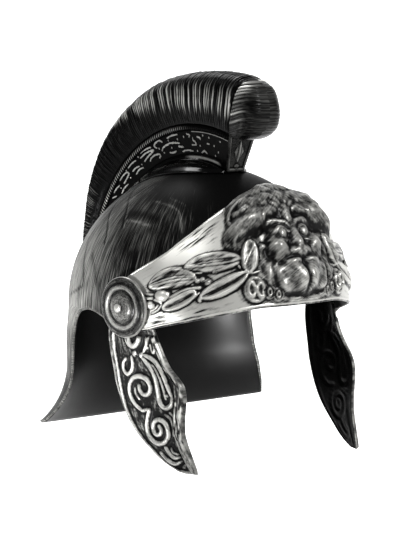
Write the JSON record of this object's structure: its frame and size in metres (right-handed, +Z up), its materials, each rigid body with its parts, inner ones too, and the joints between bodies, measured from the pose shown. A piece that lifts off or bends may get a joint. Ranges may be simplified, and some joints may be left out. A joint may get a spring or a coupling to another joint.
{
  "type": "gladiator helmet",
  "caption": "Crested gladiator costume helmet: skull cap with flared neck guard, brow band with leaf garland and lion mask, and hinged cheek guards.",
  "frame": {"origin": "where the head touches the crown, inside the skull cap and under its highest point", "axes": "X to the wearer's left, Y to the rear, Z up"},
  "size_m": [0.2154, 0.2539, 0.285],
  "materials": {
    "aged_black": "moulded black plastic with dry-brushed silver wear",
    "brushed_silver": "moulded relief painted silver, with black wash in its hollows",
    "black_plume": "moulded hair with silver brushed over its strands"
  },
  "bodies": {
    "helmet": {"skull_shell": "aged_black", "crest_plinth": "aged_black", "crest_holder": "aged_black", "crest_brush": "black_plume", "brow_band": "brushed_silver", "boss_left": "brushed_silver", "boss_right": "brushed_silver", "rivet_left": "brushed_silver", "rivet_right": "brushed_silver"},
    "cheek_left": {"cheek_guard_left": "brushed_silver"},
    "cheek_right": {"cheek_guard_right": "brushed_silver"}
  },
  "joints": [
    {"name": "cheek_left_hinge", "type": "hinge", "parent": "helmet", "child": "cheek_left", "pos_m": [0.0984, -0.0222, -0.094], "axis": [0.9913, -0.1305, -0.0175], "range_deg": [-12, 40]},
    {"name": "cheek_right_hinge", "type": "hinge", "parent": "helmet", "child": "cheek_right", "pos_m": [-0.0984, -0.0222, -0.094], "axis": [0.9913, 0.1305, 0.0175], "range_deg": [-12, 40]}
  ]
}
